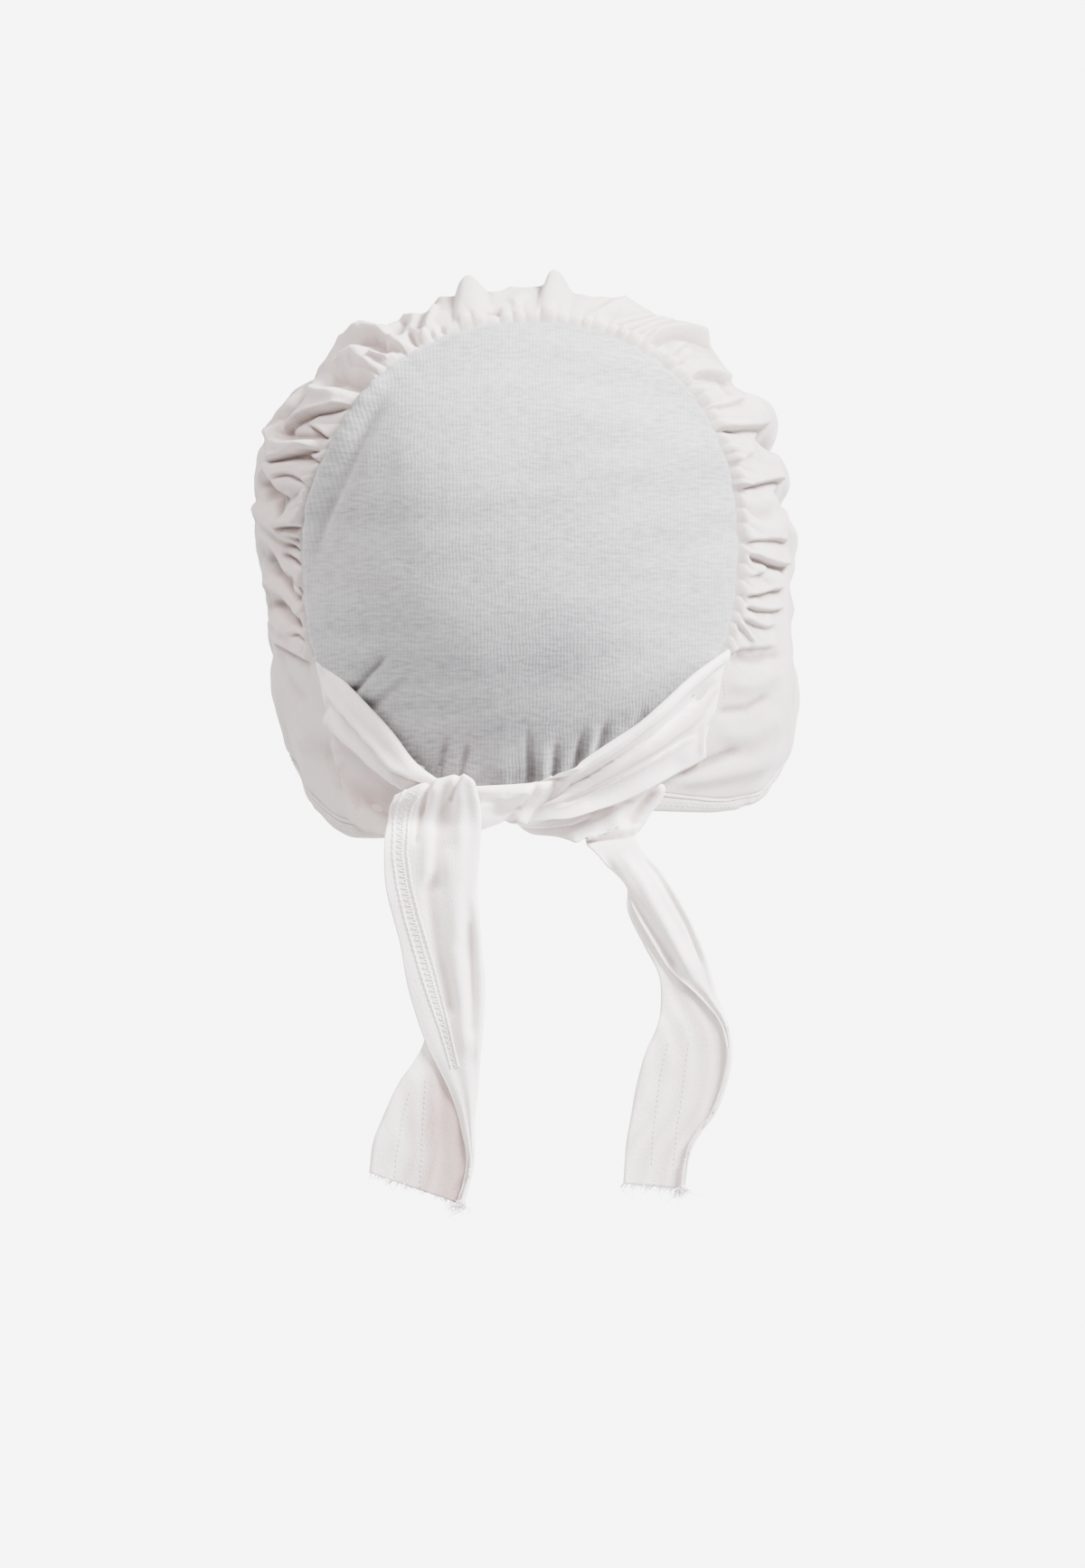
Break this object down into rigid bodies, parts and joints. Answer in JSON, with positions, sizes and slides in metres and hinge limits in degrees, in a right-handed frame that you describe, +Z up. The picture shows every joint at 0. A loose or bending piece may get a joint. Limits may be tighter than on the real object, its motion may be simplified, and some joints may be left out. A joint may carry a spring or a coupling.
{
  "type": "hijab underscarf cap",
  "caption": "Tie-back jersey underscarf cap with a smooth domed crown, a ruched band and two ties in a half knot at the nape.",
  "frame": {"origin": "top of the head, on the cap's inner face, midway from side to side", "axes": "+Z up, +Y towards the wearer's face, +X to the right as seen from behind"},
  "size_m": [0.1803, 0.1981, 0.3065],
  "materials": {
    "crown_jersey": "matt heathered jersey, fine vertical ribs",
    "band_jersey": "matt jersey, faintly pink off-white",
    "tie_jersey": "matt jersey, faintly pink off-white"
  },
  "bodies": {
    "root": {"crown_panel": "crown_jersey", "gathered_band": "band_jersey", "edge_hem": "band_jersey", "nape_hem": "crown_jersey", "left_tie": "tie_jersey", "right_tie": "tie_jersey"}
  },
  "joints": []
}
